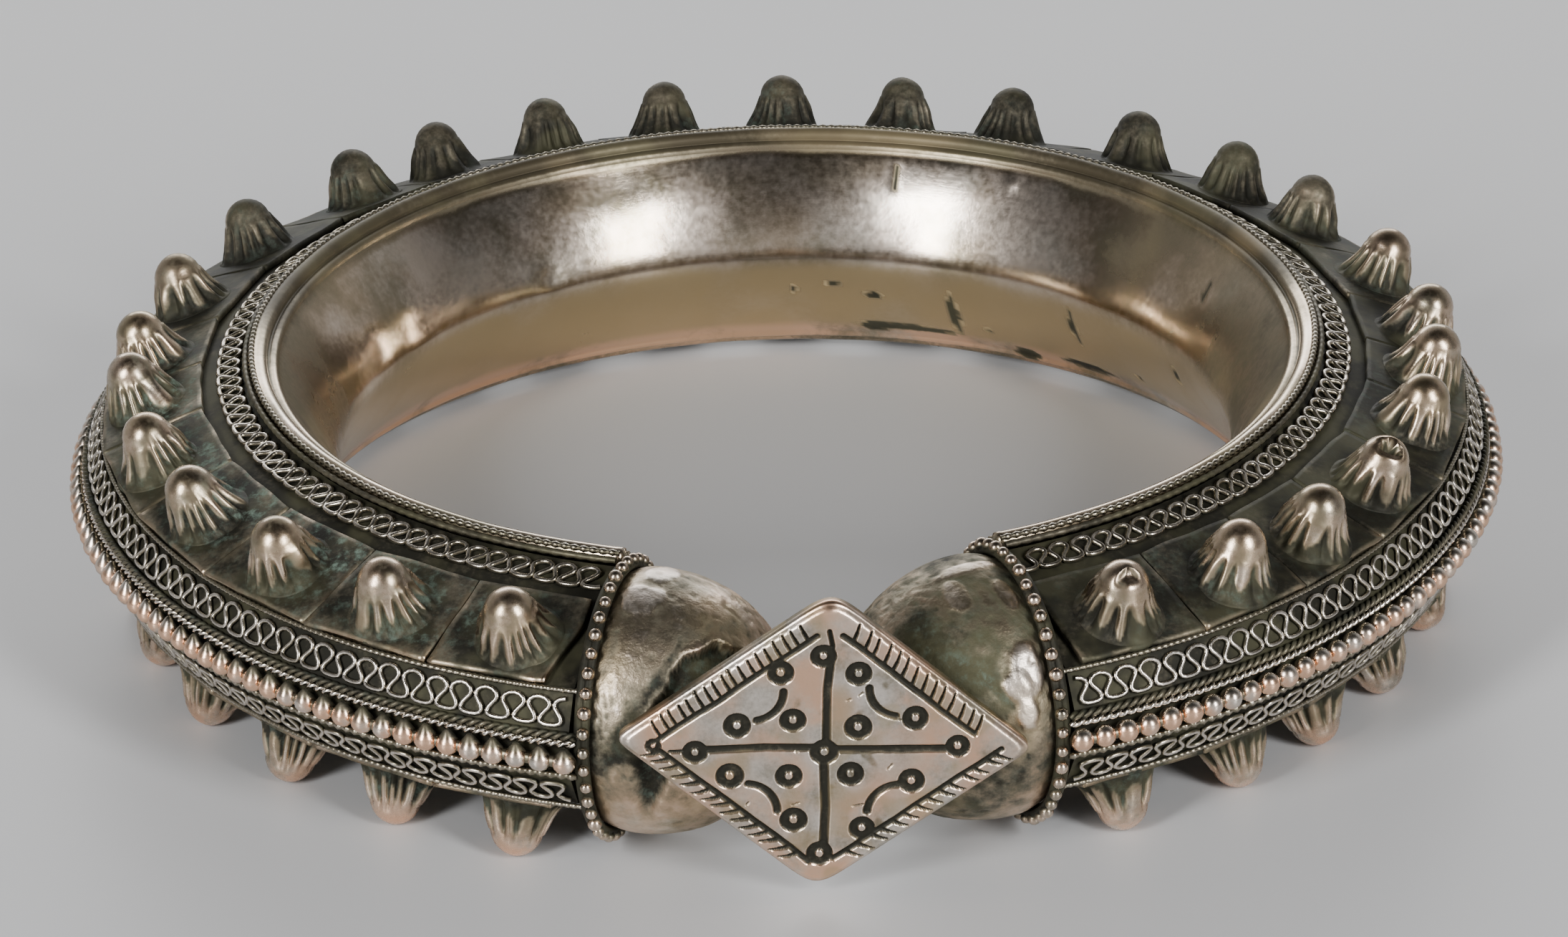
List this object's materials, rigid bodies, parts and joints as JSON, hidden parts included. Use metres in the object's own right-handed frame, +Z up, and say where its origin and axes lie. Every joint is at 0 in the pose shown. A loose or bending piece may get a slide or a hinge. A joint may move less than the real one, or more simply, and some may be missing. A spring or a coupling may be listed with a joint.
{
  "type": "bracelet",
  "caption": "Hollow silver bangle with two rows of fluted conical bosses, filigree bands, a beaded rim, domed ends and an engraved lozenge over its opening.",
  "frame": {"origin": "middle of the bounding box's floor, 0.66 mm behind the hoop's axis, with the lower boss tips at z = 0", "axes": "+Z up along the hoop's axis, -Y towards the lozenge at the front, +X to the right seen from the front"},
  "size_m": [0.0918, 0.0906, 0.019],
  "materials": {
    "shell_silver": "dull, tarnished",
    "band_silver": "polished by wear, scratched",
    "worn_silver": "satin, warm toned where worn",
    "wire_silver": "satin, dark in the hollows"
  },
  "bodies": {
    "root": {"outer_shell": "shell_silver", "inner_band": "band_silver", "left_terminal": "worn_silver", "right_terminal": "worn_silver", "left_collar": "wire_silver", "right_collar": "wire_silver", "lozenge_plate": "worn_silver", "upper_bosses": "wire_silver", "lower_bosses": "worn_silver", "rim_beads": "worn_silver", "rim_wires": "wire_silver", "lip_wires": "wire_silver", "upper_inner_filigree": "wire_silver", "upper_outer_filigree": "wire_silver", "lower_outer_filigree": "wire_silver", "lower_inner_filigree": "wire_silver"}
  },
  "joints": []
}
